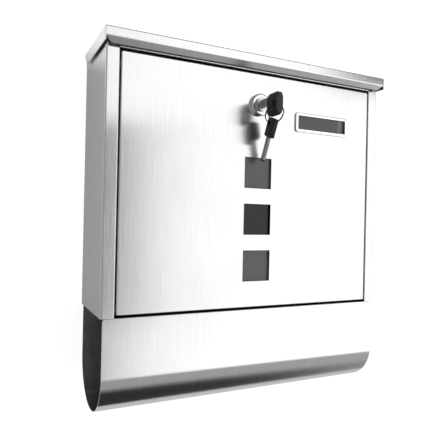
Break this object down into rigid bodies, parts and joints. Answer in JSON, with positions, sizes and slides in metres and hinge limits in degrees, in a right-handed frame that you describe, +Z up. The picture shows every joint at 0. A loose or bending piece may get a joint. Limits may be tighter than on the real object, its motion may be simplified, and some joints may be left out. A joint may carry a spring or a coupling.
{
  "type": "wall mounted mailbox",
  "caption": "Flat stainless mailbox for a wall: lift-up lid, drop-down front door with square windows, cam lock with keys, name plate, and an open newspaper tube below.",
  "frame": {"origin": "centre of the pattern of wall-screw holes, on the back face that lies against the wall", "axes": "+Z up, +Y into the wall, +X to the right as seen from the front"},
  "size_m": [0.305, 0.1204, 0.335],
  "materials": {
    "brushed_stainless": "brushed satin",
    "rivet_aluminium": "bright",
    "bright_steel": "bright zinc plated",
    "grey_nylon": "moulded",
    "black_foam": "matt foam tape",
    "tinted_acrylic": "polished smoked sheet",
    "polished_aluminium": "polished",
    "clear_acrylic": "clear polished",
    "dark_card": "matt blank card",
    "black_plastic": "moulded",
    "chrome_plate": "polished chrome plate",
    "wafer_brass": "stamped",
    "key_nickel": "nickel plated",
    "key_plastic": "moulded, fine grain"
  },
  "bodies": {
    "case": {"body_wrap": "brushed_stainless", "floor_pan": "brushed_stainless", "top_rail": "brushed_stainless", "newspaper_holder": "brushed_stainless", "holder_rivets": "rivet_aluminium", "door_pivot_pins": "bright_steel", "door_pivot_washers": "grey_nylon", "lid_hinge_rod": "bright_steel"},
    "lid": {"lid": "brushed_stainless", "lid_knuckles": "brushed_stainless"},
    "door": {"door_panel": "brushed_stainless", "window_gasket": "black_foam", "window_pane": "tinted_acrylic", "name_bezel": "polished_aluminium", "name_lens": "clear_acrylic", "name_card": "dark_card", "name_clip": "black_plastic", "lock_housing": "chrome_plate", "lock_washer": "bright_steel", "lock_nut": "bright_steel"},
    "lock_core": {"lock_plug": "chrome_plate", "lock_wafers": "wafer_brass", "lock_cam": "bright_steel", "cam_screw": "bright_steel"},
    "key": {"key_blade": "key_nickel", "key_bow": "key_plastic"},
    "ring": {"key_ring": "bright_steel"},
    "spare_key": {"spare_key_blade": "key_nickel", "spare_key_bow": "key_plastic"}
  },
  "joints": [
    {"name": "lid_hinge", "type": "hinge", "parent": "case", "child": "lid", "pos_m": [0, -0.00235, 0.12165], "axis": [-1, 0, 0], "range_deg": [0, 90]},
    {"name": "door_hinge", "type": "hinge", "parent": "case", "child": "door", "pos_m": [0, -0.079, -0.114], "axis": [1, 0, 0], "range_deg": [0, 110]},
    {"name": "lock_turn", "type": "hinge", "parent": "door", "child": "lock_core", "pos_m": [0, -0.084, 0.077], "axis": [0, 1, 0], "range_deg": [0, 90]},
    {"name": "key_slide", "type": "slide", "parent": "lock_core", "child": "key", "axis": [0, -1, 0], "range_m": [0, 0.014]},
    {"name": "ring_swing", "type": "hinge", "parent": "key", "child": "ring", "pos_m": [0.00013, -0.11463, 0.07165], "axis": [-1, 0, 0], "range_deg": [0, 60]},
    {"name": "spare_key_swing", "type": "hinge", "parent": "ring", "child": "spare_key", "pos_m": [0.00239, -0.1043, 0.05635], "axis": [-0.9925, 0.0681, -0.101], "range_deg": [0, 20]}
  ]
}
